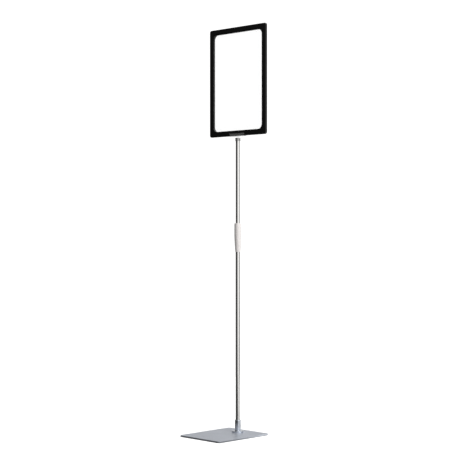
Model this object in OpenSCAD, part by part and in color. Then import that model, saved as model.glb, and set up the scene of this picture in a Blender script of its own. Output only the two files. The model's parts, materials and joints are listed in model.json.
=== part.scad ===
// Free-standing sign stand: a weighted base, a two-part telescopic pole with a
// twist lock, and an upright sign frame held in a clear swivelling clip.
// Millimetres. +Z is up, -Y is the side the sign faces, +X is the sign's right.
// The origin is the middle of the base's underside, on the floor.

/* [Base] */
// Width of the base plate, along X
base_w = 226; // [200:1:300]
// Depth of the base plate, along Y
base_d = 280; // [240:1:340]
// Thickness of the steel plate
base_t = 5.5; // [4:0.5:8]
// Corner radius of the plate
base_corner_r = 10; // [5:1:25]
// Distance from the pole's axis to the plate's rear edge
pole_to_rear = 63; // [40:1:90]
// Thickness of the anti-slip sheet under the plate
underlay_t = 1; // [0.8:0.1:2]
// How far the anti-slip sheet stays inside the plate's edge
underlay_inset = 2.5; // [1:0.5:6]

/* [Pole socket] */
// Outside diameter of the socket
socket_d = 24; // [22:0.5:30]
// Height of the socket above the plate
socket_h = 50; // [40:1:80]
// Diameter of the foot flange
flange_d = 48; // [40:1:60]
// Thickness of the foot flange
flange_t = 6; // [4:0.5:8]
// Solid floor under the tube
socket_floor = 8; // [6:0.5:12]

/* [Pole] */
// Outside diameter of the lower tube
lower_d = 18.6; // [18.6:0.1:18.8]
// Outside diameter of the upper tube
upper_d = 17.6; // [16.8:0.1:17.6]
// Wall of both tubes
tube_wall = 0.45; // [0.35:0.05:0.45]
// Top of the upper tube above the plate
upper_top = 1186; // [1170:1:1200]
// Length of the upper tube
upper_len = 741; // [600:1:760]

/* [Twist lock] */
// Lower end of the grip above the plate
grip_bottom = 728; // [700:1:760]
// Length of the grip
grip_len = 115; // [112:1:124]
// Radius of the grip at its top
grip_r = 14.3; // [14:0.1:16]
// Length of the grip's straight upper part
grip_straight = 38; // [30:1:45]
// Radius of the arc that narrows the grip downwards
grip_arc_r = 760; // [700:10:900]
// Number of spring fingers on the collet
finger_count = 6; // [4:2:8]

/* [Sign frame] */
// Outside width of the frame
frame_w = 317; // [308:1:330]
// Outside height of the frame
frame_h = 440; // [430:1:460]
// Thickness of the frame, front to back
frame_t = 11; // [9:0.5:12]
// Width of the frame's rails
rail_w = 22; // [16:0.5:24]
// Outer corner radius
frame_outer_r = 9; // [5:0.5:12]
// Corner radius of the window
frame_inner_r = 20; // [15:1:30]
// Bevel along the outer edges
frame_bevel = 2; // [0.5:0.5:3]

/* [Clip and pocket] */
// Length of the clear clip along the frame's lower rail
clip_len = 80; // [60:1:100]
// Height of the clip's walls above the rail's underside
clip_grip = 10; // [8:0.5:12]
// Wall thickness of the clip
clip_wall = 1.6; // [1.2:0.1:2]
// Diameter of the clip's stem
stem_d = 7; // [6:0.5:8]
// Gap between the pole's cap and the frame
frame_gap = 8; // [7:0.5:16]
// Thickness of each film of the pocket
film_t = 0.4; // [0.3:0.05:0.5]

/* [Hidden] */
$fn = 96;

run_gap = 0.06;      // radial clearance of a running fit
still_gap = 0.02;    // radial clearance of a joint that doesn't move
free_gap = 0.3;      // clearance between parts that move apart
eps = 0.01;          // overlap that keeps a cut or a join clean
over = 1;            // how far a cutter runs out into open space

plate_top = underlay_t + base_t;
pole_y = base_d/2 - pole_to_rear;

grip_top = grip_bottom + grip_len;
lower_top = grip_bottom + 55;
lower_r = lower_d/2;
lower_inner_r = lower_r - tube_wall;
upper_r = upper_d/2;
upper_inner_r = upper_r - tube_wall;
upper_bottom = upper_top - upper_len;

// base screw, M6 countersunk
screw_r = 3;
screw_head_r = 6;
screw_head_h = 3;
screw_recess = 0.2;
screw_access_r = 9;
screw_hex = 4;
screw_hex_depth = 2;

// set screws, M5
set_screw_r = 2.5;
set_screw_heights = [16, 38];
set_screw_hex = 2.5;
set_screw_hex_depth = 1.8;
set_screw_recess = 0.4;

// collet, with heights counted from the end of the lower tube
collet_skirt_bottom = lower_top - 37;
collet_skirt_r = 10.3;
collar_z = lower_top - 7;
collar_t = 4;
collar_r = 11.5;
neck_r = 9.8;
finger_z = lower_top + 4;
cone_z = lower_top + 17;
cone_top_z = lower_top + 35;
cone_r = 11.1;
collet_top = lower_top + 39;
finger_slot = 2.2;

// grip bores
grip_edge = 0.5;
grip_arc_steps = 24;
grip_lip_r = lower_r + 0.2;
grip_lip_top = grip_bottom + 16;
thread_r = 12;
circlip_z = collar_z + collar_t + 0.3;
circlip_t = 1.2;
circlip_groove_r = 12.6;
circlip_inner_r = 11;
circlip_gap = 4;
cap_seat_r = 12.3;
cap_t = 7;

// wedge ring
wedge_z = cone_z - 1;
wedge_h = 13;
wedge_play = 0.12;
lug_w = 1.6;
lug_h = 6;
lug_inner_r = 9;
lug_outer_r = thread_r - 0.6;

// foot plug of the upper tube
foot_flange_t = 3;
foot_floor_t = 2;
foot_insert_h = 16;
foot_wall = 1.8;

// pole cap
cap_r = 10.5;
cap_h = 13;
cap_lid = 2;
cap_top = upper_top + cap_lid;
cap_plug_bottom = upper_top - 36;

// clip
stem_r = stem_d/2;
clip_floor = 2.2;
frame_bottom = cap_top + frame_gap;
clip_top_of_floor = frame_bottom - free_gap;
clip_floor_bottom = clip_top_of_floor - clip_floor;
clip_half_gap = frame_t/2 + free_gap;
stem_bottom = cap_plug_bottom - 4;
stem_flare_r = 4.7;
stem_flare_h = 1.6;
stem_clip_t = 1.2;
stem_clip_z = cap_plug_bottom - stem_clip_t - 0.5;
stem_clip_r = 6.5;
stem_clip_gap = 2.8;
stem_neck_r = 2.8;
stem_neck_play = 0.1;

// frame and pocket
slot_half = 1.3;             // half the frame's inner slot
slot_wall = 4;               // solid outer band of each rail
lip_drop = 0.5;              // how much thinner each shell is at the window
lip_w = 6;                   // width of that sloping lip
film_half = 0.95;            // outer faces of the pocket, from its middle
pocket_side_gap = 1;         // between the pocket and the slot's ends
pocket_w = frame_w - 2*(slot_wall + pocket_side_gap);
pocket_bottom = frame_bottom + slot_wall + free_gap;
pocket_top = frame_bottom + frame_h - 2;
pocket_seam = 3;

// Places children on the pole's axis, with heights counted from the plate's top.
module on_pole() {
    translate([0, pole_y, plate_top]) children();
}

// A rectangle centred on the origin with true arcs at its corners.
module rounded_rect(w, d, r) {
    square([w - 2*r, d], center = true);
    square([w, d - 2*r], center = true);
    for (x = [-1, 1], y = [-1, 1])
        translate([x*(w/2 - r), y*(d/2 - r)]) circle(r);
}

// A ring between two radii.
module ring(z, h, inner_r, outer_r) {
    translate([0, 0, z]) difference() {
        cylinder(h = h, r = outer_r);
        translate([0, 0, -eps]) cylinder(h = h + 2*eps, r = inner_r);
    }
}

module base_plate() color([0.68, 0.70, 0.73]) difference() {
    translate([0, 0, underlay_t])
        linear_extrude(base_t) rounded_rect(base_w, base_d, base_corner_r);
    translate([0, pole_y, 0]) cylinder(h = plate_top + over, r = screw_r + run_gap);
    translate([0, pole_y, underlay_t + screw_recess])
        cylinder(h = screw_head_h + run_gap, r1 = screw_head_r + run_gap, r2 = screw_r + run_gap);
    translate([0, pole_y, underlay_t - over])
        cylinder(h = over + screw_recess + eps, r = screw_head_r + run_gap);
}

module base_underlay() color([0.16, 0.16, 0.17]) difference() {
    linear_extrude(underlay_t)
        rounded_rect(base_w - 2*underlay_inset, base_d - 2*underlay_inset,
                     base_corner_r - underlay_inset);
    translate([0, pole_y, -eps]) cylinder(h = underlay_t + 2*eps, r = screw_access_r);
}

module base_screw() color([0.55, 0.56, 0.58]) translate([0, pole_y, underlay_t + screw_recess])
    difference() {
        union() {
            cylinder(h = screw_head_h, r1 = screw_head_r, r2 = screw_r);
            cylinder(h = base_t - screw_recess + socket_floor, r = screw_r);
        }
        translate([0, 0, -eps]) cylinder(h = screw_hex_depth, d = screw_hex/cos(30), $fn = 6);
    }

module pole_socket() color([0.66, 0.68, 0.71]) on_pole() difference() {
    union() {
        cylinder(h = socket_h, d = socket_d);
        cylinder(h = flange_t, d = flange_d);
    }
    translate([0, 0, socket_floor]) cylinder(h = socket_h, r = lower_r + still_gap);
    translate([0, 0, -eps]) cylinder(h = socket_floor + over, r = screw_r + still_gap);
    for (z = set_screw_heights)
        translate([0, 0, z]) rotate([-90, 0, 0]) cylinder(h = socket_d, r = set_screw_r + still_gap);
}

module socket_set_screws() color([0.30, 0.30, 0.32]) on_pole()
    for (z = set_screw_heights)
        translate([0, socket_d/2 - set_screw_recess, z]) rotate([90, 0, 0]) difference() {
            cylinder(h = socket_d/2 - set_screw_recess - lower_r - still_gap, r = set_screw_r);
            translate([0, 0, -eps]) cylinder(h = set_screw_hex_depth, d = set_screw_hex/cos(30), $fn = 6);
        }

module lower_tube() color([0.80, 0.80, 0.80]) on_pole()
    ring(socket_floor, lower_top - socket_floor, lower_inner_r, lower_r);

// Sleeve fixed over the lower tube's end, with spring fingers round the upper tube.
module lock_collet() color([0.25, 0.26, 0.28]) on_pole() difference() {
    rotate_extrude() polygon([
        [upper_r + run_gap, lower_top],
        [lower_r + still_gap, lower_top],
        [lower_r + still_gap, collet_skirt_bottom],
        [collet_skirt_r, collet_skirt_bottom],
        [collet_skirt_r, collar_z],
        [collar_r, collar_z],
        [collar_r, collar_z + collar_t],
        [neck_r, collar_z + collar_t],
        [neck_r, cone_z],
        [cone_r, cone_top_z],
        [cone_r, collet_top],
        [upper_r + run_gap, collet_top]
    ]);
    for (i = [0 : finger_count - 1])
        rotate([0, 0, i*360/finger_count]) translate([0, -finger_slot/2, finger_z])
            cube([cone_r + over, finger_slot, collet_top]);
}

// Radius of the collet's cone at height z.
function cone_at(z) = neck_r + (cone_r - neck_r)*(z - cone_z)/(cone_top_z - cone_z);

// Ring that the grip's thread drives along the fingers' cone.
module wedge_ring() color([0.85, 0.55, 0.20]) on_pole() {
    rotate_extrude() polygon([
        [cone_at(cone_z) + wedge_play, wedge_z],
        [thread_r - run_gap, wedge_z],
        [thread_r - run_gap, wedge_z + wedge_h],
        [cone_at(wedge_z + wedge_h) + wedge_play, wedge_z + wedge_h],
        [cone_at(cone_z) + wedge_play, cone_z]
    ]);
    for (a = [0, 180])
        rotate([0, 0, a]) translate([lug_inner_r, -lug_w/2, wedge_z])
            cube([lug_outer_r - lug_inner_r, lug_w, lug_h]);
}

// Outer radius of the grip at depth s below the start of its arc.
function grip_arc(s) = grip_r - grip_arc_r + sqrt(grip_arc_r*grip_arc_r - s*s);

module lock_grip() color([0.95, 0.94, 0.93]) on_pole()
    let (arc_top = grip_top - grip_straight, step = (arc_top - grip_bottom)/grip_arc_steps)
    rotate_extrude() polygon(concat(
        [[cap_seat_r, grip_top], [grip_r - grip_edge, grip_top], [grip_r, grip_top - grip_edge]],
        [for (i = [0 : grip_arc_steps]) [grip_arc(i*step), arc_top - i*step]],
        [
            [grip_lip_r, grip_bottom],
            [grip_lip_r, grip_lip_top],
            [collet_skirt_r + run_gap, grip_lip_top],
            [collet_skirt_r + run_gap, collar_z - run_gap],
            [thread_r, collar_z - run_gap],
            [thread_r, circlip_z - run_gap],
            [circlip_groove_r, circlip_z - run_gap],
            [circlip_groove_r, circlip_z + circlip_t + run_gap],
            [thread_r, circlip_z + circlip_t + run_gap],
            [thread_r, grip_top - cap_t],
            [cap_seat_r, grip_top - cap_t]
        ]));

// Spring ring in the grip's groove, above the collet's collar.
module grip_circlip() color([0.60, 0.61, 0.63]) on_pole() difference() {
    ring(circlip_z, circlip_t, circlip_inner_r, circlip_groove_r - still_gap);
    translate([0, -circlip_gap/2, circlip_z - over])
        cube([circlip_groove_r + over, circlip_gap, circlip_t + 2*over]);
}

// Guide bush that closes the grip's top.
module grip_cap() color([0.93, 0.92, 0.91]) on_pole()
    ring(grip_top - cap_t, cap_t, upper_r + run_gap, cap_seat_r - still_gap);

module upper_tube() color([0.83, 0.83, 0.82]) on_pole()
    ring(upper_bottom, upper_len, upper_inner_r, upper_r);

module tube_foot_plug() color([0.20, 0.20, 0.21]) on_pole() difference() {
    union() {
        translate([0, 0, upper_bottom - foot_flange_t]) cylinder(h = foot_flange_t, r = upper_r);
        translate([0, 0, upper_bottom - eps]) cylinder(h = foot_insert_h, r = upper_inner_r - still_gap);
    }
    translate([0, 0, upper_bottom - foot_flange_t + foot_floor_t])
        cylinder(h = foot_flange_t + foot_insert_h, r = upper_inner_r - foot_wall);
}

// Ferrule over the upper tube's end, with a plug that holds the clip's stem.
module tube_cap() color([0.60, 0.60, 0.60]) on_pole() difference() {
    union() {
        translate([0, 0, cap_top - cap_h]) cylinder(h = cap_h, r = cap_r);
        translate([0, 0, cap_plug_bottom])
            cylinder(h = cap_top - cap_plug_bottom, r = upper_inner_r - still_gap);
    }
    ring(cap_top - cap_h - over, cap_h - cap_lid + over, upper_inner_r - still_gap, upper_r + still_gap);
    translate([0, 0, cap_plug_bottom - over])
        cylinder(h = cap_top - cap_plug_bottom + 2*over, r = stem_r + run_gap);
}

// Clear channel round the frame's lower rail, on a stem that turns in the cap.
module t_clip() color([0.86, 0.86, 0.84, 0.5]) on_pole() {
    difference() {
        union() {
            translate([0, 0, stem_bottom]) cylinder(h = clip_floor_bottom - stem_bottom + eps, r = stem_r);
            translate([0, 0, clip_floor_bottom - stem_flare_h])
                cylinder(h = stem_flare_h + eps, r1 = stem_r, r2 = stem_flare_r);
        }
        ring(stem_clip_z - stem_neck_play, stem_clip_t + 2*stem_neck_play, stem_neck_r, stem_r + over);
    }
    translate([-clip_len/2, -clip_half_gap - clip_wall, clip_floor_bottom])
        cube([clip_len, 2*(clip_half_gap + clip_wall), clip_floor]);
    for (side = [-1, 1])
        translate([-clip_len/2, side*(clip_half_gap + clip_wall/2) - clip_wall/2, clip_floor_bottom])
            cube([clip_len, clip_wall, clip_floor + free_gap + clip_grip]);
}

// Push-on clip under the cap's plug, which keeps the stem from lifting out.
module stem_clip() color([0.60, 0.61, 0.63]) on_pole() difference() {
    ring(stem_clip_z, stem_clip_t, stem_neck_r + still_gap, stem_clip_r);
    translate([0, -stem_clip_gap/2, stem_clip_z - over])
        cube([stem_clip_r + over, stem_clip_gap, stem_clip_t + 2*over]);
}

// Places a drawing made flat, with its Z as depth, upright at the frame's centre.
module on_frame() {
    translate([0, pole_y, plate_top + frame_bottom + frame_h/2]) rotate([90, 0, 0]) children();
}

// Four upright posts at the corners of a w by h rectangle, to be hulled into a slab.
module corner_posts(w, h, r, z0, z1) {
    for (x = [-1, 1], y = [-1, 1])
        translate([x*w/2, y*h/2, z0]) cylinder(h = z1 - z0, r = r, $fn = 64);
}

// One half of the frame, drawn for the front: flat joint face at 0, bevels outwards.
module frame_shell() difference() {
    half_t = frame_t/2;
    centre_w = frame_w - 2*frame_outer_r;
    centre_h = frame_h - 2*frame_outer_r;
    window_w = frame_w - 2*rail_w;
    window_h = frame_h - 2*rail_w;
    hull() {
        corner_posts(centre_w, centre_h, frame_outer_r, 0, half_t - frame_bevel);
        corner_posts(centre_w, centre_h, frame_outer_r - frame_bevel, 0, half_t);
    }
    translate([0, 0, -over]) linear_extrude(frame_t) rounded_rect(window_w, window_h, frame_inner_r);
    hull() {
        corner_posts(window_w - 2*frame_inner_r, window_h - 2*frame_inner_r, frame_inner_r,
                    half_t - lip_drop, half_t);
        corner_posts(window_w - 2*frame_inner_r, window_h - 2*frame_inner_r, frame_inner_r + lip_w,
                    half_t, half_t + over);
    }
    translate([-frame_w/2 + slot_wall, -frame_h/2 + slot_wall, -over])
        cube([frame_w - 2*slot_wall, frame_h, over + slot_half]);
}

module frame_front() color([0.04, 0.04, 0.045]) on_frame() frame_shell();

module frame_back() color([0.04, 0.04, 0.045]) on_frame() mirror([0, 0, 1]) frame_shell();

// Front film, with its side and bottom edges turned back to the rear film.
module pocket_front_sheet() color([0.90, 0.93, 0.95, 0.3])
    translate([-pocket_w/2, pole_y, plate_top + pocket_bottom]) difference() {
        translate([0, -film_half, 0])
            cube([pocket_w, 2*film_half - film_t, pocket_top - pocket_bottom]);
        translate([pocket_seam, film_t - film_half, pocket_seam])
            cube([pocket_w - 2*pocket_seam, 2*film_half, pocket_top - pocket_bottom]);
    }

module pocket_back_sheet() color([0.90, 0.93, 0.95, 0.3])
    translate([-pocket_w/2, pole_y + film_half - film_t, plate_top + pocket_bottom])
        cube([pocket_w, film_t, pocket_top - pocket_bottom]);

base_plate();
base_underlay();
base_screw();
pole_socket();
socket_set_screws();
lower_tube();
lock_collet();
wedge_ring();
lock_grip();
grip_circlip();
grip_cap();
upper_tube();
tube_foot_plug();
tube_cap();
t_clip();
stem_clip();
frame_front();
frame_back();
pocket_front_sheet();
pocket_back_sheet();
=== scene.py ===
"""Looks of a free-standing sign stand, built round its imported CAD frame.

Every visible CAD node is replaced by a mesh with rounded edges and even faces. Small parts inside
the stand keep their CAD mesh and get a better material. Lengths are metres unless a name ends in _mm.
"""

import json
import math

import bmesh
import bpy
from mathutils import Matrix, Vector


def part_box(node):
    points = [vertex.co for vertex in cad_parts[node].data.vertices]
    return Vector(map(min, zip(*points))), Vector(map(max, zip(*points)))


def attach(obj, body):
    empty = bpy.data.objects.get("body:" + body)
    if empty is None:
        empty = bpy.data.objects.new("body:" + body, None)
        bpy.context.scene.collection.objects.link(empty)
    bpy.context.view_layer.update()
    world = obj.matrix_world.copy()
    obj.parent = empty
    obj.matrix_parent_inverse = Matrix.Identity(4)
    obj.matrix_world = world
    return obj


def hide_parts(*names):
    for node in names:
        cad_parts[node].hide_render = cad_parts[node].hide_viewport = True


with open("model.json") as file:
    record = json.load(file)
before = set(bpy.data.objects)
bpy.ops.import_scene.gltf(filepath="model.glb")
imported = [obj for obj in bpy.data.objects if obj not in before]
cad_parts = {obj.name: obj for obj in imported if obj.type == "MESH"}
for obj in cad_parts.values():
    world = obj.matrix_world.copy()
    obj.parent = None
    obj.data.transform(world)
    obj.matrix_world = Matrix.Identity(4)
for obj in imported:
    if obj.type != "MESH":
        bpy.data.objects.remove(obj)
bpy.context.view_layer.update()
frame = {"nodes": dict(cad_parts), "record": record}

MM = 0.001
SEGMENTS = 128          # round a turned part
ARC_STEPS = 5           # points on a rounded profile edge
CORNER_STEPS = 14       # points on a corner of a rounded rectangle
HOLE_SEGMENTS = 64      # round a bored hole or a thin stem
SMOOTH_ANGLE = math.radians(32)     # sharper edges than this stay sharp in the shading
BEVEL_ANGLE = math.radians(40)      # sharper edges than this are rounded
STILL_GAP = 0.02 * MM   # radial clearance of parts that don't move on each other
RUN_GAP = 0.06 * MM     # radial clearance of the guide bush on the tube
CUT_OVER = 1 * MM       # how far a cutter reaches past the part it cuts

scene = bpy.context.scene


# ---------------------------------------------------------------- places, from the frame

def low(node):
    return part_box(node)[0]


def high(node):
    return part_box(node)[1]


def radius_of(node):
    """Outer radius of a turned CAD node."""
    return (high(node)[0] - low(node)[0]) / 2


POLE = Vector(((low("lower_tube")[0] + high("lower_tube")[0]) / 2,
               (low("lower_tube")[1] + high("lower_tube")[1]) / 2, 0))


# ---------------------------------------------------------------- outlines and profiles

def rounded_corner(before, corner, after, radius):
    """Points of the arc that rounds one corner of a profile."""
    corner, a, b = Vector(corner), Vector(before), Vector(after)
    to_a, to_b = (a - corner), (b - corner)
    if radius <= 0:
        return [corner]
    half = to_a.angle(to_b) / 2
    if half > math.radians(89):
        return [corner]
    reach = min(radius / math.tan(half), to_a.length * 0.49, to_b.length * 0.49)
    start, end = corner + to_a.normalized() * reach, corner + to_b.normalized() * reach
    centre = corner + (to_a.normalized() + to_b.normalized()).normalized() * reach / math.cos(half)
    r = (start - centre).length
    points = []
    for i in range(ARC_STEPS + 1):
        mix = start.lerp(end, i / ARC_STEPS) - centre
        points.append(centre + mix.normalized() * r)
    return points


def rounded_profile(corners):
    """A closed profile from (x, y, rounding radius) corners."""
    out = []
    for i, (x, y, radius) in enumerate(corners):
        px, py, _ = corners[i - 1]
        nx, ny, _ = corners[(i + 1) % len(corners)]
        out += rounded_corner((px, py), (x, y), (nx, ny), radius)
    return out


def rounded_rect(width, height, radius):
    """Points of a rounded rectangle centred on the origin, anticlockwise."""
    radius = max(radius, 1e-5)
    points = []
    for quarter, (sx, sy) in enumerate(((1, 1), (-1, 1), (-1, -1), (1, -1))):
        cx, cy = sx * (width / 2 - radius), sy * (height / 2 - radius)
        for i in range(CORNER_STEPS + 1):
            angle = (quarter + i / CORNER_STEPS) * math.pi / 2
            points.append(Vector((cx + radius * math.cos(angle), cy + radius * math.sin(angle))))
    return points


# ---------------------------------------------------------------- meshes

def new_object(name, bm):
    """A mesh object from a bmesh, smooth except across sharp edges."""
    bmesh.ops.remove_doubles(bm, verts=bm.verts, dist=1e-7)
    bmesh.ops.recalc_face_normals(bm, faces=bm.faces)
    mesh = bpy.data.meshes.new(name)
    bm.to_mesh(mesh)
    bm.free()
    obj = bpy.data.objects.new(name, mesh)
    scene.collection.objects.link(obj)
    finish_shading(obj)
    return obj


def finish_shading(obj):
    """Smooth faces, with sharp edges kept."""
    for face in obj.data.polygons:
        face.use_smooth = True
    obj.data.set_sharp_from_angle(angle=SMOOTH_ANGLE)


def weighted_normals(obj):
    """Keeps large flat faces flat beside their rounded edges."""
    mod = obj.modifiers.new("weighted_normals", "WEIGHTED_NORMAL")
    mod.keep_sharp = True
    return obj


def bridge(bm, loops, closed):
    """Quads between neighbouring loops of equal length."""
    rings = [[bm.verts.new(p) for p in loop] for loop in loops]
    count = len(rings[0])
    last = len(rings) if closed else len(rings) - 1
    for k in range(last):
        a, b = rings[k], rings[(k + 1) % len(rings)]
        for i in range(count):
            j = (i + 1) % count
            bm.faces.new((a[i], a[j], b[j], b[i]))
    return rings


def circle(axis, r, z, segments):
    """Points round a vertical axis, at one radius and height."""
    return [(axis.x + r * math.cos(2 * math.pi * i / segments),
             axis.y + r * math.sin(2 * math.pi * i / segments), z) for i in range(segments)]


def lathe(name, corners):
    """A closed profile of (radius, height, rounding) turned about the pole's axis."""
    bm = bmesh.new()
    bridge(bm, [circle(POLE, r, z, SEGMENTS) for r, z in rounded_profile(corners)], closed=True)
    return weighted_normals(new_object(name, bm))


def disc_lathe(name, corners, axis=POLE, segments=SEGMENTS):
    """An open profile that starts and ends on the axis, turned into a closed solid."""
    bm = bmesh.new()
    rings = bridge(bm, [circle(axis, r, z, segments) for r, z in corners], closed=False)
    bm.faces.new(rings[0])
    bm.faces.new(list(reversed(rings[-1])))
    return new_object(name, bm)


def stacked_plate(name, width, depth, corner_r, sections):
    """A flat plate: sections are (inset, height) from its lowest face to its highest."""
    bm = bmesh.new()
    loops = []
    for inset, z in sections:
        ring = rounded_rect(width - 2 * inset, depth - 2 * inset, corner_r - inset)
        loops.append([(p.x, p.y, z) for p in ring])
    rings = bridge(bm, loops, closed=False)
    bm.faces.new(list(reversed(rings[0])))
    bm.faces.new(rings[-1])
    return weighted_normals(new_object(name, bm))


def block(name, lowest, highest):
    """A plain box, used as a cutter or as a start for a rounded part."""
    bm = bmesh.new()
    bmesh.ops.create_cube(bm, size=1)
    lowest, highest = Vector(lowest), Vector(highest)
    size = highest - lowest
    bmesh.ops.transform(bm, verts=bm.verts,
                        matrix=Matrix.Translation((lowest + highest) / 2)
                        @ Matrix.Diagonal((*size, 1)))
    return new_object(name, bm)


def apply_modifiers(obj):
    """Turns the object's modifiers into plain mesh."""
    graph = bpy.context.evaluated_depsgraph_get()
    mesh = bpy.data.meshes.new_from_object(obj.evaluated_get(graph))
    obj.modifiers.clear()
    old = obj.data
    obj.data = mesh
    bpy.data.meshes.remove(old)


def combine(obj, others, operation):
    """Cuts others out of obj, or joins them to it, and deletes them."""
    for other in others:
        mod = obj.modifiers.new("combine", "BOOLEAN")
        mod.operation = operation
        mod.solver = "EXACT"
        mod.object = other
    apply_modifiers(obj)
    for other in others:
        bpy.data.objects.remove(other, do_unlink=True)
    finish_shading(obj)
    return weighted_normals(obj)


def round_edges(obj, width, segments=3):
    """Rounds the object's sharp edges for good."""
    mod = obj.modifiers.new("round_edges", "BEVEL")
    mod.width = width
    mod.segments = segments
    mod.limit_method = "ANGLE"
    mod.angle_limit = BEVEL_ANGLE
    apply_modifiers(obj)
    finish_shading(obj)
    return weighted_normals(obj)


# ---------------------------------------------------------------- material nodes

class Nodes:
    """Short names for building one node tree."""

    def __init__(self, tree):
        self.tree = tree

    def add(self, kind, **inputs):
        node = self.tree.nodes.new(kind)
        for key, value in inputs.items():
            node.inputs[key.replace("_", " ")].default_value = value
        return node

    def link(self, source, target):
        self.tree.links.new(source, target)

    def place(self, scale):
        """Object coordinates, multiplied by scale along each axis."""
        coords = self.add("ShaderNodeTexCoord")
        mapping = self.add("ShaderNodeMapping")
        mapping.inputs["Scale"].default_value = scale
        self.link(coords.outputs["Object"], mapping.inputs["Vector"])
        return mapping.outputs["Vector"]

    def noise(self, scale, detail=3.0, roughness=0.5):
        node = self.add("ShaderNodeTexNoise", Scale=1.0, Detail=detail, Roughness=roughness)
        self.link(self.place(scale), node.inputs["Vector"])
        return node.outputs["Fac"]

    def cells(self, scale):
        node = self.add("ShaderNodeTexVoronoi", Scale=1.0)
        self.link(self.place(scale), node.inputs["Vector"])
        return node.outputs["Distance"]

    def spread(self, source, low_out, high_out, low_in=0.3, high_in=0.7):
        """source from low_in..high_in to low_out..high_out."""
        node = self.add("ShaderNodeMapRange")
        for key, value in (("From Min", low_in), ("From Max", high_in),
                           ("To Min", low_out), ("To Max", high_out)):
            node.inputs[key].default_value = value
        self.link(source, node.inputs["Value"])
        return node.outputs["Result"]

    def colours(self, source, stops):
        """A colour ramp with (position, (r, g, b)) stops."""
        ramp = self.add("ShaderNodeValToRGB")
        elements = ramp.color_ramp.elements
        while len(elements) < len(stops):
            elements.new(0.5)
        for element, (position, colour) in zip(elements, stops):
            element.position = position
            element.color = (*colour, 1)
        self.link(source, ramp.inputs["Fac"])
        return ramp.outputs["Color"]

    def bump(self, height, strength, distance, under=None):
        node = self.add("ShaderNodeBump", Strength=strength, Distance=distance)
        self.link(height, node.inputs["Height"])
        if under is not None:
            self.link(under, node.inputs["Normal"])
        return node.outputs["Normal"]

    def maths(self, operation, *sources):
        """A Math node on one or two sources."""
        node = self.add("ShaderNodeMath")
        node.operation = operation
        for i, source in enumerate(sources):
            self.link(source, node.inputs[i])
        return node.outputs["Value"]

    def along(self, coordinates, axis):
        """How far the coordinates reach along an axis."""
        node = self.add("ShaderNodeVectorMath")
        node.operation = "DOT_PRODUCT"
        node.inputs[1].default_value = tuple(axis)
        self.link(coordinates, node.inputs[0])
        return node.outputs["Value"]

    def mix(self, factor, base, colour, blend_type="MIX"):
        """base, mixed with a plain colour by factor."""
        node = self.add("ShaderNodeMix")
        node.data_type = "RGBA"
        node.blend_type = blend_type
        self.link(factor, node.inputs["Factor"])
        self.link(base, node.inputs["A"])
        node.inputs["B"].default_value = (*colour, 1)
        return node.outputs["Result"]


def make_material(name, **inputs):
    """A Principled material; inputs are uniform values of the shader's own sockets."""
    material = bpy.data.materials.new(name)
    material.use_nodes = True
    shader = material.node_tree.nodes["Principled BSDF"]
    for key, value in inputs.items():
        shader.inputs[key.replace("_", " ")].default_value = value
    return material, Nodes(material.node_tree), shader


def grey(value, tint=(1, 1, 1)):
    """A grey of one value, tinted."""
    return tuple(value * t for t in tint)


def powder_coat():
    """Silver-grey powder coat: fine orange peel, faint metallic fleck, soft cloudiness."""
    material, n, shader = make_material("powder_coat_silver", Metallic=0.75)
    peel = n.noise((900, 900, 900), detail=2)
    cloud = n.noise((14, 14, 14), detail=4)
    fleck = n.cells((3600, 3600, 3600))
    tint = (0.93, 0.98, 1.08)
    base = n.colours(cloud, [(0.3, grey(0.49, tint)), (0.7, grey(0.54, tint))])
    n.link(n.mix(n.spread(fleck, 0.20, 0.0, 0.0, 0.30), base, (0.5, 0.52, 0.55), "ADD"),
           shader.inputs["Base Color"])
    n.link(n.spread(peel, 0.34, 0.44), shader.inputs["Roughness"])
    n.link(n.bump(peel, 0.45, 0.00012), shader.inputs["Normal"])
    return material


def satin_plating():
    """Cool grey satin plating: turning rings under a fine blasted grain."""
    material, n, shader = make_material("satin_plating_grey", Metallic=1.0)
    rings = n.noise((7, 7, 2400), detail=3)
    grain = n.noise((2200, 2200, 2200), detail=2)
    tint = (0.94, 0.99, 1.07)
    n.link(n.colours(rings, [(0.3, grey(0.58, tint)), (0.7, grey(0.68, tint))]),
           shader.inputs["Base Color"])
    n.link(n.spread(grain, 0.09, 0.16), shader.inputs["Roughness"])
    n.link(n.bump(rings, 0.06, 0.00004, under=n.bump(grain, 0.10, 0.00003)), shader.inputs["Normal"])
    return material


def drawn_steel():
    """Bright tube: long drawing lines along the pole, fingerprints too faint to read."""
    material, n, shader = make_material("drawn_steel_bright", Metallic=1.0)
    lines = n.noise((2600, 2600, 9), detail=4, roughness=0.6)
    smudge = n.noise((40, 40, 12), detail=3)
    n.link(n.colours(lines, [(0.25, grey(0.60, (1.0, 0.985, 0.96))), (0.75, grey(0.72, (1.0, 0.99, 0.97)))]),
           shader.inputs["Base Color"])
    n.link(n.maths("ADD", n.spread(lines, 0.0, 0.07), n.spread(smudge, 0.13, 0.18)),
           shader.inputs["Roughness"])
    n.link(n.bump(lines, 0.12, 0.00004), shader.inputs["Normal"])
    return material


def turned_aluminium():
    """Grey cap: fine turning rings round the pole's axis."""
    material, n, shader = make_material("turned_aluminium_grey", Metallic=1.0)
    rings = n.noise((6, 6, 5200), detail=3)
    cloud = n.noise((160, 160, 160))
    tint = (1.0, 0.985, 0.97)
    n.link(n.colours(rings, [(0.3, grey(0.38, tint)), (0.7, grey(0.46, tint))]),
           shader.inputs["Base Color"])
    n.link(n.spread(cloud, 0.34, 0.44), shader.inputs["Roughness"])
    n.link(n.bump(rings, 0.2, 0.00003), shader.inputs["Normal"])
    return material


PARTING_HALF = 0.25 * MM    # half the width of the grip's parting line


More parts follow.
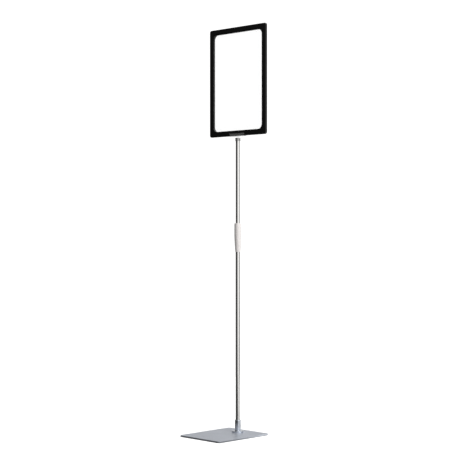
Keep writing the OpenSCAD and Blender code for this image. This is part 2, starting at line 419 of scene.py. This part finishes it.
def white_grip():
    """Satin white moulded plastic with a spark-eroded grain and a parting line front and back."""
    material, n, shader = make_material("moulded_white", Specular_IOR_Level=0.5)
    grain = n.noise((1900, 1900, 1900), detail=2)
    cloud = n.noise((30, 30, 22), detail=3)
    n.link(n.colours(cloud, [(0.3, (0.74, 0.705, 0.69)), (0.7, (0.78, 0.745, 0.73))]),
           shader.inputs["Base Color"])
    n.link(n.spread(grain, 0.34, 0.46), shader.inputs["Roughness"])
    coords = n.add("ShaderNodeTexCoord")
    axes = n.add("ShaderNodeSeparateXYZ")
    n.link(coords.outputs["Object"], axes.inputs["Vector"])
    from_middle = n.maths("ABSOLUTE", axes.outputs["X"])
    parting = n.bump(n.spread(from_middle, 1.0, 0.0, 0.0, PARTING_HALF), 0.7, 0.00008)
    n.link(n.bump(grain, 0.40, 0.00006, under=parting), shader.inputs["Normal"])
    return material


def black_frame():
    """Satin black moulded plastic: fine grain, slight flow marks, a little dust."""
    material, n, shader = make_material("moulded_black", Specular_IOR_Level=0.28)
    grain = n.noise((1500, 1500, 1500), detail=2)
    flow = n.noise((9, 40, 9), detail=4)
    dust = n.cells((420, 420, 420))
    base = n.colours(flow, [(0.3, grey(0.0028)), (0.7, grey(0.0058))])
    n.link(n.mix(n.spread(dust, 0.10, 0.0, 0.0, 0.09), base, grey(0.04)), shader.inputs["Base Color"])
    n.link(n.spread(grain, 0.28, 0.46), shader.inputs["Roughness"])
    n.link(n.bump(grain, 0.5, 0.00010, under=n.bump(flow, 0.3, 0.0006)), shader.inputs["Normal"])
    return material


def clear_moulding():
    """Clear clip: slightly warm polycarbonate with faint flow ripples."""
    material, n, shader = make_material("clear_moulding", Transmission_Weight=0.78, IOR=1.4, Alpha=0.34)
    ripple = n.noise((120, 300, 120), detail=2)
    scuff = n.noise((700, 700, 700), detail=3)
    n.link(n.colours(ripple, [(0.3, (0.95, 0.94, 0.925)), (0.7, (0.98, 0.97, 0.96))]),
           shader.inputs["Base Color"])
    n.link(n.spread(scuff, 0.04, 0.14), shader.inputs["Roughness"])
    n.link(n.bump(ripple, 0.10, 0.0003), shader.inputs["Normal"])
    return material


def clear_film(name, opacity, shade):
    """Clear pocket film with soft waves in its reflections: nearly unseen, but for its welds."""
    material, n, shader = make_material(name, Alpha=opacity, Specular_IOR_Level=0.5)
    wave = n.noise((5, 5, 3.4), detail=2)
    haze = n.noise((260, 260, 260), detail=2)
    n.link(n.colours(haze, [(0.3, grey(shade - 0.04, (0.98, 1, 1.01))),
                            (0.7, grey(shade, (0.99, 1, 1.01)))]), shader.inputs["Base Color"])
    n.link(n.spread(haze, 0.03, 0.08), shader.inputs["Roughness"])
    n.link(n.bump(wave, 0.3, 0.002), shader.inputs["Normal"])
    return material


def foam_rubber():
    """Matt black foam sheet with small open cells."""
    material, n, shader = make_material("foam_rubber_black", Specular_IOR_Level=0.25)
    cell = n.cells((1300, 1300, 1300))
    cloud = n.noise((60, 60, 60))
    n.link(n.colours(cloud, [(0.3, grey(0.020)), (0.7, grey(0.034))]), shader.inputs["Base Color"])
    n.link(n.spread(cloud, 0.82, 0.95), shader.inputs["Roughness"])
    n.link(n.bump(cell, 0.6, 0.0002), shader.inputs["Normal"])
    return material


def plated_steel(name, dark, light, rough):
    """Small hardware: crystalline plating with a few scratches."""
    material, n, shader = make_material(name, Metallic=1.0)
    crystal = n.cells((1200, 1200, 1200))
    scratch = n.noise((300, 4000, 900), detail=2)
    n.link(n.colours(crystal, [(0.0, grey(dark)), (0.6, grey(light))]), shader.inputs["Base Color"])
    n.link(n.spread(scratch, rough, rough + 0.12), shader.inputs["Roughness"])
    n.link(n.bump(scratch, 0.12, 0.00004), shader.inputs["Normal"])
    return material


def inner_plastic(name, dark, light):
    """Moulded plastic of the parts inside the lock."""
    material, n, shader = make_material(name, Specular_IOR_Level=0.4)
    grain = n.noise((1600, 1600, 1600), detail=2)
    cloud = n.noise((50, 50, 50))
    n.link(n.colours(cloud, [(0.3, dark), (0.7, light)]), shader.inputs["Base Color"])
    n.link(n.spread(grain, 0.42, 0.56), shader.inputs["Roughness"])
    n.link(n.bump(grain, 0.15, 0.00005), shader.inputs["Normal"])
    return material


MATERIALS = {
    "base_paint": powder_coat(),
    "socket_metal": satin_plating(),
    "underlay": foam_rubber(),
    "zinc_steel": plated_steel("zinc_plated_steel", 0.40, 0.58, 0.28),
    "black_steel": plated_steel("black_oxide_steel", 0.035, 0.06, 0.35),
    "tube_steel": drawn_steel(),
    "dark_plastic": inner_plastic("moulded_dark_grey", grey(0.018), grey(0.028)),
    "wedge_plastic": inner_plastic("moulded_acetal", (0.58, 0.56, 0.50), (0.64, 0.62, 0.56)),
    "grip_plastic": white_grip(),
    "cap_metal": turned_aluminium(),
    "clear_clip": clear_moulding(),
    "frame_plastic": black_frame(),
    "clear_film": clear_film("clear_film_sheet", 0.05, 0.98),
}
FILM_WELD = clear_film("clear_film_weld", 0.4, 0.50)

SLOT_OF = {part["node"]: part["material_slot"] for part in frame["record"]["subparts"]}


def body_of_node(node):
    """Name of the CAD body that holds a node."""
    for body, nodes in frame["record"]["behaviour"]["bodies"].items():
        if node in nodes:
            return body
    raise ValueError(node)


def stand_in(piece, node):
    """The piece replaces a CAD node: same body, same slot, its own material."""
    piece.data.materials.clear()
    piece.data.materials.append(MATERIALS[SLOT_OF[node]])
    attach(piece, body_of_node(node))
    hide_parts(node)


# ---------------------------------------------------------------- base

UNDERLAY_TOP = high("base_underlay")[2]
PLATE_TOP = high("base_plate")[2]
PLATE_CORNER_R = 10 * MM
UNDERLAY_CORNER_R = 7.5 * MM
SCREW_ACCESS_R = 9 * MM
SCREW_HEAD_R = radius_of("base_screw")
SCREW_HEAD_GAP = 0.1 * MM
SCREW_HOLE_R = 3.1 * MM
COUNTERSINK_H = 3 * MM
PLATE_EDGE_R = 0.7 * MM
UNDERLAY_EDGE = 0.25 * MM


def make_base_plate():
    """Laser-cut sheet with softly rounded edges and a countersunk hole from below."""
    width, depth = high("base_plate")[0] * 2, high("base_plate")[1] * 2
    edge = PLATE_EDGE_R
    turns = [i / ARC_STEPS * math.pi / 2 for i in range(ARC_STEPS + 1)]
    sections = [(edge * (1 - math.sin(a)), UNDERLAY_TOP + edge * (1 - math.cos(a))) for a in turns]
    sections += [(edge * (1 - math.cos(a)), PLATE_TOP - edge * (1 - math.sin(a))) for a in turns]
    plate = stacked_plate("base_plate_sheet", width, depth, PLATE_CORNER_R, sections)
    head_r, head_z = SCREW_HEAD_R + SCREW_HEAD_GAP, low("base_screw")[2]
    hole = disc_lathe("plate_hole", [
        (head_r, UNDERLAY_TOP - CUT_OVER), (head_r, head_z),
        (SCREW_HOLE_R, head_z + COUNTERSINK_H), (SCREW_HOLE_R, PLATE_TOP + CUT_OVER)],
        segments=HOLE_SEGMENTS)
    combine(plate, [hole], "DIFFERENCE")
    stand_in(plate, "base_plate")


def make_underlay():
    """Thin foam sheet with a rounded edge and a hole for the screw."""
    width, depth = high("base_underlay")[0] * 2, high("base_underlay")[1] * 2
    edge = UNDERLAY_EDGE
    sheet = stacked_plate("base_underlay_sheet", width, depth, UNDERLAY_CORNER_R,
                          [(edge, 0), (0, edge), (0, UNDERLAY_TOP - edge), (edge, UNDERLAY_TOP)])
    hole = disc_lathe("underlay_hole", [(SCREW_ACCESS_R, -CUT_OVER),
                                        (SCREW_ACCESS_R, UNDERLAY_TOP + CUT_OVER)],
                      segments=HOLE_SEGMENTS)
    combine(sheet, [hole], "DIFFERENCE")
    stand_in(sheet, "base_underlay")


FLANGE_T = 6 * MM
SOCKET_R = 12 * MM
SOCKET_THREAD_R = 3 * MM
SET_SCREW_R = 2.55 * MM
SET_SCREW_REACH = (6 * MM, 14 * MM)         # from and to this distance from the pole's axis
SET_SCREW_HEIGHTS = (16 * MM, 38 * MM)      # above the socket's foot


def make_socket():
    """Turned socket with a foot flange, bored for the tube and tapped at the back."""
    z0, z1 = low("pole_socket")[2], high("pole_socket")[2]
    flange_r, flange_top = radius_of("pole_socket"), z0 + FLANGE_T
    bore_r, bore_floor = radius_of("lower_tube") + STILL_GAP, low("lower_tube")[2]
    socket = lathe("pole_socket_turned", [
        (SOCKET_THREAD_R, z0, 0.2 * MM), (flange_r, z0, 0.3 * MM), (flange_r, flange_top, 0.4 * MM),
        (SOCKET_R, flange_top, 0.4 * MM), (SOCKET_R, z1, 1.0 * MM), (bore_r, z1, 0.5 * MM),
        (bore_r, bore_floor, 0), (SOCKET_THREAD_R, bore_floor, 0)])
    cutters = []
    for height in SET_SCREW_HEIGHTS:
        hole = disc_lathe("screw_hole", [(SET_SCREW_R, reach) for reach in SET_SCREW_REACH],
                          axis=Vector((0, 0, 0)), segments=48)
        hole.data.transform(Matrix.Translation((POLE.x, POLE.y, z0 + height))
                            @ Matrix.Rotation(-math.pi / 2, 4, "X"))
        cutters.append(hole)
    combine(socket, cutters, "DIFFERENCE")
    stand_in(socket, "pole_socket")


# ---------------------------------------------------------------- pole

TUBE_WALL = 0.45 * MM
TUBE_BURR = 0.15 * MM       # rounding of a tube's ends
PLUG_WALL = 1.78 * MM
PLUG_FLANGE_H = 3 * MM
PLUG_FLOOR = 2 * MM
CAP_H = 13 * MM
CAP_LID = 2 * MM
STEM_BORE_R = 3.56 * MM


def make_tube(name, node):
    """A drawn tube with deburred ends."""
    outer, z0, z1 = radius_of(node), low(node)[2], high(node)[2]
    inner = outer - TUBE_WALL
    tube = lathe(name, [(outer, z0, TUBE_BURR), (outer, z1, TUBE_BURR),
                        (inner, z1, TUBE_BURR), (inner, z0, TUBE_BURR)])
    stand_in(tube, node)


def make_foot_plug():
    """Cup-shaped plug: a flange the width of the tube, and an insert with a closed floor."""
    outer, insert = radius_of("tube_foot_plug"), radius_of("upper_tube") - TUBE_WALL - STILL_GAP
    inside = insert - PLUG_WALL
    z0, z1 = low("tube_foot_plug")[2], high("tube_foot_plug")[2]
    plug = disc_lathe("tube_foot_plug_moulding", [
        (outer - 0.6 * MM, z0), (outer - 0.18 * MM, z0 + 0.18 * MM), (outer, z0 + 0.6 * MM),
        (outer, z0 + PLUG_FLANGE_H), (insert, z0 + PLUG_FLANGE_H), (insert, z1 - 0.5 * MM),
        (insert - 0.5 * MM, z1), (inside, z1), (inside, z0 + PLUG_FLOOR)])
    stand_in(plug, "tube_foot_plug")


def make_cap():
    """Grey ferrule over the tube's end, with its plug and the bore for the stem."""
    outer, z1, z0 = radius_of("tube_cap"), high("tube_cap")[2], low("tube_cap")[2]
    skirt, lid = z1 - CAP_H, z1 - CAP_LID
    tube_outer, bore = radius_of("upper_tube") + STILL_GAP, STEM_BORE_R
    tube_inner = radius_of("upper_tube") - TUBE_WALL - STILL_GAP
    cap = lathe("tube_cap_turned", [
        (outer, skirt, 0.4 * MM), (outer, z1, 0.9 * MM), (bore, z1, 0.5 * MM), (bore, z0, 0.3 * MM),
        (tube_inner, z0, 0.6 * MM), (tube_inner, lid, 0), (tube_outer, lid, 0),
        (tube_outer, skirt, 0.2 * MM)])
    stand_in(cap, "tube_cap")


# ---------------------------------------------------------------- twist lock

GRIP_STRAIGHT = 38 * MM
GRIP_ARC_R = 760 * MM
GRIP_ARC_STEPS = 28
GRIP_LIP_GAP = 0.2 * MM     # radial, round the lower tube
GRIP_LIP_H = 16 * MM
GRIP_SHOULDER_H = 48 * MM
GRIP_SKIRT_R = 10.36 * MM
GRIP_THREAD_R = 12 * MM


def make_grip():
    """White sleeve: straight at the top, then drawn in along a long arc."""
    z0, z1, outer = low("lock_grip")[2], high("lock_grip")[2], radius_of("lock_grip")
    arc_top = z1 - GRIP_STRAIGHT
    lip_r, seat_r = radius_of("lower_tube") + GRIP_LIP_GAP, radius_of("grip_cap") + STILL_GAP
    lip_top, shoulder, cap_z = z0 + GRIP_LIP_H, z0 + GRIP_SHOULDER_H, low("grip_cap")[2]
    corners = [(seat_r, z1, 0.1 * MM), (outer, z1, 0.7 * MM), (outer, arc_top, 0)]
    for i in range(1, GRIP_ARC_STEPS):
        s = (arc_top - z0) * i / GRIP_ARC_STEPS
        corners.append((outer - GRIP_ARC_R + math.sqrt(GRIP_ARC_R ** 2 - s * s), arc_top - s, 0))
    s = arc_top - z0
    corners += [(outer - GRIP_ARC_R + math.sqrt(GRIP_ARC_R ** 2 - s * s), z0, 0.35 * MM),
                (lip_r, z0, 0.3 * MM), (lip_r, lip_top, 0), (GRIP_SKIRT_R, lip_top, 0),
                (GRIP_SKIRT_R, shoulder, 0), (GRIP_THREAD_R, shoulder, 0), (GRIP_THREAD_R, cap_z, 0),
                (seat_r, cap_z, 0)]
    stand_in(lathe("lock_grip_sleeve", corners), "lock_grip")


def make_grip_cap():
    """Guide bush in the grip's upper end."""
    outer, bore = radius_of("grip_cap"), radius_of("upper_tube") + RUN_GAP
    z0, z1 = low("grip_cap")[2], high("grip_cap")[2]
    cap = lathe("grip_cap_bush", [(bore, z0, 0.2 * MM), (outer, z0, 0.2 * MM), (outer, z1, 0.25 * MM),
                                  (bore, z1, 0.5 * MM)])
    stand_in(cap, "grip_cap")


# ---------------------------------------------------------------- clip, frame and pocket

CLIP_WALL = 1.6 * MM
CLIP_FLOOR = 2.2 * MM
CLIP_BELOW = 2.5 * MM       # from the frame down to the channel's underside
CLIP_EDGE_R = 0.45 * MM
STEM_R = 3.5 * MM
STEM_END = 0.5 * MM         # chamfer of the stem's lower end
STEM_NECK_R = 2.8 * MM      # in the groove for the retaining clip
STEM_NECK_GAP = 0.1 * MM    # above and below that clip


def make_clip():
    """Clear channel with rounded lips, joined to its turned stem."""
    lo, hi = low("t_clip"), high("t_clip")
    channel_z = low("frame_front")[2] - CLIP_BELOW
    channel = block("t_clip_moulding", (lo[0], lo[1], channel_z), hi)
    cutter = block("channel_cut", (lo[0] - CUT_OVER, lo[1] + CLIP_WALL, channel_z + CLIP_FLOOR),
                   (hi[0] + CUT_OVER, hi[1] - CLIP_WALL, hi[2] + CUT_OVER))
    combine(channel, [cutter], "DIFFERENCE")
    round_edges(channel, CLIP_EDGE_R)
    channel.modifiers.clear()
    neck_z, neck_top = low("stem_clip")[2] - STEM_NECK_GAP, high("stem_clip")[2] + STEM_NECK_GAP
    stem = disc_lathe("clip_stem", [
        (STEM_R - STEM_END, lo[2]), (STEM_R, lo[2] + STEM_END), (STEM_R, neck_z),
        (STEM_NECK_R, neck_z), (STEM_NECK_R, neck_top), (STEM_R, neck_top),
        (STEM_R, channel_z - 1.6 * MM), (3.7 * MM, channel_z - 0.8 * MM),
        (4.2 * MM, channel_z - 0.2 * MM), (4.7 * MM, channel_z + 1.1 * MM)], segments=HOLE_SEGMENTS)
    combine(channel, [stem], "UNION")
    stand_in(channel, "t_clip")


FRAME_R_OUTER = 9 * MM
FRAME_R_WINDOW = 20 * MM
FRAME_RAIL = 22 * MM
FRAME_BEVEL = 2 * MM
FRAME_LIP = 6 * MM
FRAME_LIP_DROP = 0.5 * MM
SLOT_WALL = 4 * MM          # from the frame's outer edge in to the pocket's slot
SLOT_HALF = 1.3 * MM        # half the slot's thickness


def frame_corner_r(inset):
    """Corner radius of the frame's outline at a distance in from its outer edge."""
    lip_start = FRAME_RAIL - FRAME_LIP
    if inset <= FRAME_BEVEL:
        return FRAME_R_OUTER - inset
    if inset >= lip_start:
        return FRAME_R_WINDOW + FRAME_RAIL - inset
    mix = (inset - FRAME_BEVEL) / (lip_start - FRAME_BEVEL)
    return (FRAME_R_OUTER - FRAME_BEVEL) * (1 - mix) + (FRAME_R_WINDOW + FRAME_LIP) * mix


def make_frame_shell(name, node, side):
    """One half of the frame; side is -1 for the front and 1 for the back."""
    lo, hi = low(node), high(node)
    width, height = hi[0] - lo[0], hi[2] - lo[2]
    half_t = hi[1] - lo[1]
    centre_z = (lo[2] + hi[2]) / 2
    profile = rounded_profile([
        (0.25 * MM, 0, 0), (0, 0.25 * MM, 0.1 * MM), (0, half_t - FRAME_BEVEL, 0.5 * MM),
        (FRAME_BEVEL, half_t, 0.5 * MM), (FRAME_RAIL - FRAME_LIP, half_t, 2.0 * MM),
        (FRAME_RAIL, half_t - FRAME_LIP_DROP, 0.8 * MM), (FRAME_RAIL, SLOT_HALF, 0.3 * MM),
        (SLOT_WALL, SLOT_HALF, 0), (SLOT_WALL, 0, 0)])
    bm = bmesh.new()
    loops = []
    for inset, depth in profile:
        ring = rounded_rect(width - 2 * inset, height - 2 * inset, frame_corner_r(inset))
        loops.append([(p.x, POLE.y + side * depth, centre_z + p.y) for p in ring])
    bridge(bm, loops, closed=True)
    shell = new_object(name, bm)
    mouth = block("slot_mouth", (lo[0] + SLOT_WALL, POLE.y - SLOT_HALF, hi[2] - 2 * SLOT_WALL),
                  (hi[0] - SLOT_WALL, POLE.y + SLOT_HALF, hi[2] + CUT_OVER))
    combine(shell, [mouth], "DIFFERENCE")
    stand_in(shell, node)


FILM_T = 0.4 * MM
FILM_SEAM = 3 * MM
FILM_EDGE_R = 0.12 * MM


def make_front_film():
    """Front film: its sides and bottom turn back as welded bands."""
    lo, hi = low("pocket_front_sheet"), high("pocket_front_sheet")
    sheet = block("pocket_front_film", lo, hi)
    inner = block("pocket_inside", (lo[0] + FILM_SEAM, lo[1] + FILM_T, lo[2] + FILM_SEAM),
                  (hi[0] - FILM_SEAM, hi[1] + CUT_OVER, hi[2] + CUT_OVER))
    combine(sheet, [inner], "DIFFERENCE")
    sheet.modifiers.clear()
    round_edges(sheet, FILM_EDGE_R, segments=2)
    stand_in(sheet, "pocket_front_sheet")
    sheet.data.materials.append(FILM_WELD)
    for face in sheet.data.polygons:
        if (sheet.matrix_world @ face.center).y > lo[1] + 1.1 * FILM_T:
            face.material_index = 1


def make_back_film():
    """Rear film, flat."""
    sheet = block("pocket_back_film", low("pocket_back_sheet"), high("pocket_back_sheet"))
    round_edges(sheet, FILM_EDGE_R, segments=2)
    stand_in(sheet, "pocket_back_sheet")


# ---------------------------------------------------------------- parts that keep their CAD mesh

def dress_cad_node(node):
    """Gives a CAD node its material."""
    obj = frame["nodes"][node]
    for entry in obj.material_slots:
        entry.material = MATERIALS[SLOT_OF[node]]


make_base_plate()
make_underlay()
make_socket()
make_tube("lower_tube_drawn", "lower_tube")
make_tube("upper_tube_drawn", "upper_tube")
make_foot_plug()
make_cap()
make_grip()
make_grip_cap()
make_clip()
make_frame_shell("frame_front_shell", "frame_front", -1)
make_frame_shell("frame_back_shell", "frame_back", 1)
make_front_film()
make_back_film()
for cad_node in ("base_screw", "socket_set_screws", "lock_collet", "wedge_ring", "grip_circlip",
                 "stem_clip"):
    dress_cad_node(cad_node)


# ---------------------------------------------------------------- floor, light, camera

CAMERA_AZIMUTH = math.radians(45)
CAMERA_DISTANCE = 5.142     # from the pole, along the line of sight
CAMERA_HEIGHT = 0.8266      # above the floor; the line of sight is level
CAMERA_ASIDE = 0.0360       # how far the pole stands to the right of the line of sight
CAMERA_LENS = 100.1         # and the sensor's width, in mm
CAMERA_SENSOR = 36.0

BACK = Vector((math.sin(CAMERA_AZIMUTH), -math.cos(CAMERA_AZIMUTH), 0))
RIGHT = Vector((math.cos(CAMERA_AZIMUTH), math.sin(CAMERA_AZIMUTH), 0))

FLOOR_REACH = 1.5           # from the middle to each side
FLOOR_DROP = 0.2 * MM       # keeps the floor clear of the foam's underside
FLOOR_SHOWN = 0.96          # to the camera
# painted shade and a painted bright band: the floor's colour to every other ray, from 0.5 m left of the
# middle at 0 to 0.5 m right of it at 1; they show as reflections and bounce light
FLOOR_PAINTED_SHADE = [(0.0, 0.05), (0.46, 0.06), (0.60, 0.24), (0.66, 0.95), (0.74, 0.45), (1.0, 0.75)]


def make_floor():
    """White to the camera and open from below; to every other ray it carries painted shade on the left and a
    painted bright band on the right.
    """
    bm = bmesh.new()
    bmesh.ops.create_grid(bm, x_segments=1, y_segments=1, size=FLOOR_REACH)
    floor = new_object("studio_floor", bm)
    floor.location.z = -FLOOR_DROP
    material, n, shader = make_material("studio_white", Roughness=0.9, Specular_IOR_Level=0.0)
    coords = n.add("ShaderNodeTexCoord")
    across = n.along(coords.outputs["Object"], RIGHT)
    # painted shade and highlight: to every ray but the camera's, the floor's colour is dark on the left with
    # a bright band on the right
    painted_shade_and_highlight = n.colours(n.spread(across, 0.0, 1.0, -0.5, 0.5),
                         [(position, grey(value)) for position, value in FLOOR_PAINTED_SHADE])
    path = n.add("ShaderNodeLightPath")
    n.link(n.mix(path.outputs["Is Camera Ray"], painted_shade_and_highlight, grey(FLOOR_SHOWN)), shader.inputs["Base Color"])
    side = n.add("ShaderNodeNewGeometry")
    open_below = n.add("ShaderNodeMixShader")
    n.link(side.outputs["Backfacing"], open_below.inputs[0])
    n.link(shader.outputs["BSDF"], open_below.inputs[1])
    n.link(n.add("ShaderNodeBsdfTransparent").outputs["BSDF"], open_below.inputs[2])
    n.link(open_below.outputs["Shader"], material.node_tree.nodes["Material Output"].inputs["Surface"])
    floor.data.materials.append(material)


# the world's brightness to every ray but the camera's, by compass angle in degrees from the camera's
# side; + is to the right
AROUND = [(-180, 0.66), (-169, 0.26), (-157, 0.04), (-110, 0.03), (-80, 0.02), (-60, 0.10), (-40, 0.34),
          (-15, 0.78), (10, 1.20), (35, 1.80), (55, 1.50), (70, 0.50), (84, 0.14), (98, 0.14), (110, 0.80),
          (126, 1.60), (160, 1.40), (171, 0.95), (180, 0.66)]
# and the same by height, from straight down at -1 to straight up at 1
BY_HEIGHT = [(-1.0, 0.4), (-0.12, 0.70), (0.0, 1.0), (0.16, 1.0), (0.32, 0.62), (0.6, 0.8), (0.85, 1.9)]
BACKDROP = 1.15             # the world's brightness to the camera
SKY_LEVEL = 0.62            # brightness above the horizon's contrast
SKY_EVENNESS = 0.6          # how much of that contrast is lost high up
SKY_BLEND = (0.18, 0.40)    # heights between which it is lost


def make_world():
    """White to the camera; to every other ray it is bright on the right and dark on the left."""
    world = bpy.data.worlds.new("studio_world")
    scene.world = world
    world.use_nodes = True
    tree = world.node_tree
    tree.nodes.clear()
    n = Nodes(tree)
    coords = n.add("ShaderNodeTexCoord")
    angle = n.maths("ARCTAN2", n.along(coords.outputs["Generated"], RIGHT),
                    n.along(coords.outputs["Generated"], BACK))
    around = n.colours(n.spread(angle, 0.0, 1.0, -math.pi, math.pi),
                       [((degrees + 180) / 360, grey(value)) for degrees, value in AROUND])
    axes = n.add("ShaderNodeSeparateXYZ")
    n.link(coords.outputs["Generated"], axes.inputs["Vector"])
    rise = n.colours(n.spread(axes.outputs["Z"], 0.0, 1.0, -1.0, 1.0),
                     [((height + 1) / 2, grey(value)) for height, value in BY_HEIGHT])
    softened = n.mix(n.spread(axes.outputs["Z"], 0.0, SKY_EVENNESS, *SKY_BLEND), around, grey(SKY_LEVEL))
    both = n.add("ShaderNodeMix")
    both.data_type = "RGBA"
    both.blend_type = "MULTIPLY"
    both.inputs["Factor"].default_value = 1.0
    n.link(softened, both.inputs["A"])
    n.link(rise, both.inputs["B"])
    lit = n.add("ShaderNodeBackground", Strength=1.0)
    n.link(both.outputs["Result"], lit.inputs["Color"])
    seen = n.add("ShaderNodeBackground", Strength=BACKDROP)
    seen.inputs["Color"].default_value = (1, 1, 1, 1)
    mix = n.add("ShaderNodeMixShader")
    path = n.add("ShaderNodeLightPath")
    n.link(path.outputs["Is Camera Ray"], mix.inputs[0])
    n.link(lit.outputs["Background"], mix.inputs[1])
    n.link(seen.outputs["Background"], mix.inputs[2])
    out = n.add("ShaderNodeOutputWorld")
    n.link(mix.outputs["Shader"], out.inputs["Surface"])


KEY_ENERGY = 2.2
KEY_SPREAD = math.radians(25)
KEY_FROM = (0.64, 0.60, 1.1)    # to the right, towards the camera, up


def make_key_light():
    """A broad soft key from above, right and front."""
    light = bpy.data.lights.new("key", "SUN")
    light.energy = KEY_ENERGY
    light.angle = KEY_SPREAD
    key = bpy.data.objects.new("key", light)
    right, back, up = KEY_FROM
    direction = (RIGHT * right + BACK * back + Vector((0, 0, up))).normalized()
    key.rotation_mode = "QUATERNION"
    key.rotation_quaternion = direction.to_track_quat("Z", "Y")
    scene.collection.objects.link(key)


def make_camera():
    """Level, at the photograph's azimuth."""
    data = bpy.data.cameras.new("camera")
    data.lens = CAMERA_LENS
    data.sensor_width = CAMERA_SENSOR
    data.clip_end = 200
    camera = bpy.data.objects.new("camera", data)
    camera.location = POLE + BACK * CAMERA_DISTANCE - RIGHT * CAMERA_ASIDE + Vector((0, 0, CAMERA_HEIGHT))
    camera.rotation_mode = "QUATERNION"
    camera.rotation_quaternion = (-BACK).to_track_quat("-Z", "Y")
    scene.collection.objects.link(camera)
    scene.camera = camera


make_floor()
make_world()
make_key_light()
make_camera()
scene.view_settings.view_transform = "Standard"
